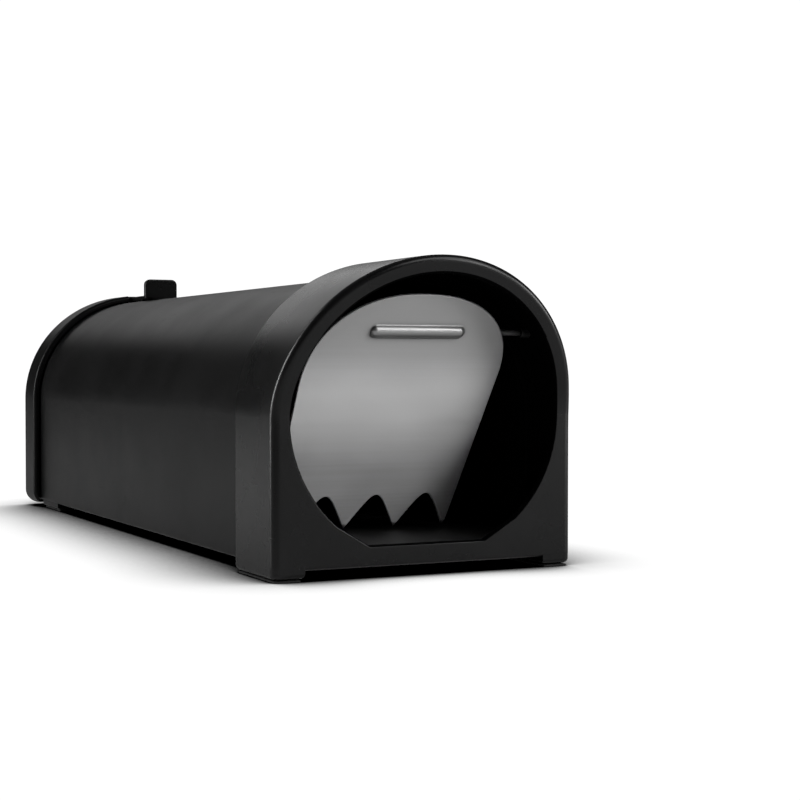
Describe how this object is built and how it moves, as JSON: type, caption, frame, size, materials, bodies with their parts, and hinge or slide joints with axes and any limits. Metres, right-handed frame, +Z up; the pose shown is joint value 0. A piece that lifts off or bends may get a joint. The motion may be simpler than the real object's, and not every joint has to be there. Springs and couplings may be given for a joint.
{
  "type": "tunnel bait station",
  "caption": "Arched black plastic tunnel with a flared hood entrance, a one-way toothed steel flap, a floor tray, a latched rear door and a lift-out bait cup.",
  "frame": {"origin": "middle of the footprint on the surface that the four feet stand on", "axes": "+Z up, +Y along the tunnel from the entrance to the rear door, +X to the right seen from in front of the entrance"},
  "size_m": [0.084, 0.2628, 0.0836],
  "materials": {
    "black_plastic": "satin moulded black plastic",
    "tray_plastic": "matt moulded black plastic",
    "stainless_sheet": "brushed stainless sheet and wire",
    "zinc_steel": "bright zinc-plated steel",
    "foot_rubber": "matt black rubber",
    "bush_nylon": "black nylon"
  },
  "bodies": {
    "station": {"tunnel_shell": "black_plastic", "floor_tray": "tray_plastic", "entrance_collar": "black_plastic", "axle_bush_left": "bush_nylon", "axle_bush_right": "bush_nylon", "door_hinge_pin": "zinc_steel", "tray_screw_front_left": "zinc_steel", "tray_screw_front_right": "zinc_steel", "tray_screw_rear_left": "zinc_steel", "tray_screw_rear_right": "zinc_steel", "collar_screw_left": "zinc_steel", "collar_screw_right": "zinc_steel", "front_pad_left": "foot_rubber", "front_pad_right": "foot_rubber", "rear_pad_left": "foot_rubber", "rear_pad_right": "foot_rubber"},
    "flap": {"flap_plate": "stainless_sheet", "axle_saddle": "stainless_sheet", "flap_axle": "stainless_sheet"},
    "door": {"rear_door": "black_plastic", "latch_pin": "zinc_steel", "latch_spring": "zinc_steel"},
    "latch": {"latch_lever": "black_plastic"},
    "cup": {"bait_cup": "tray_plastic", "bait_rod": "zinc_steel"}
  },
  "joints": [
    {"name": "flap_swing", "type": "hinge", "parent": "station", "child": "flap", "pos_m": [0, -0.11266, 0.061], "axis": [1, 0, 0], "range_deg": [0, 48]},
    {"name": "door_swing", "type": "hinge", "parent": "station", "child": "door", "pos_m": [0, 0.12894, 0.0052], "axis": [-1, 0, 0], "range_deg": [0, 90]},
    {"name": "latch_lift", "type": "hinge", "parent": "door", "child": "latch", "pos_m": [0, 0.12244, 0.0752], "axis": [-1, 0, 0], "range_deg": [0, 12], "stiffness_Nm_per_rad": 0.02, "springref_deg": -20.05},
    {"name": "cup_lift", "type": "slide", "parent": "door", "child": "cup", "axis": [0, 0, 1], "range_m": [0, 0.014]}
  ]
}
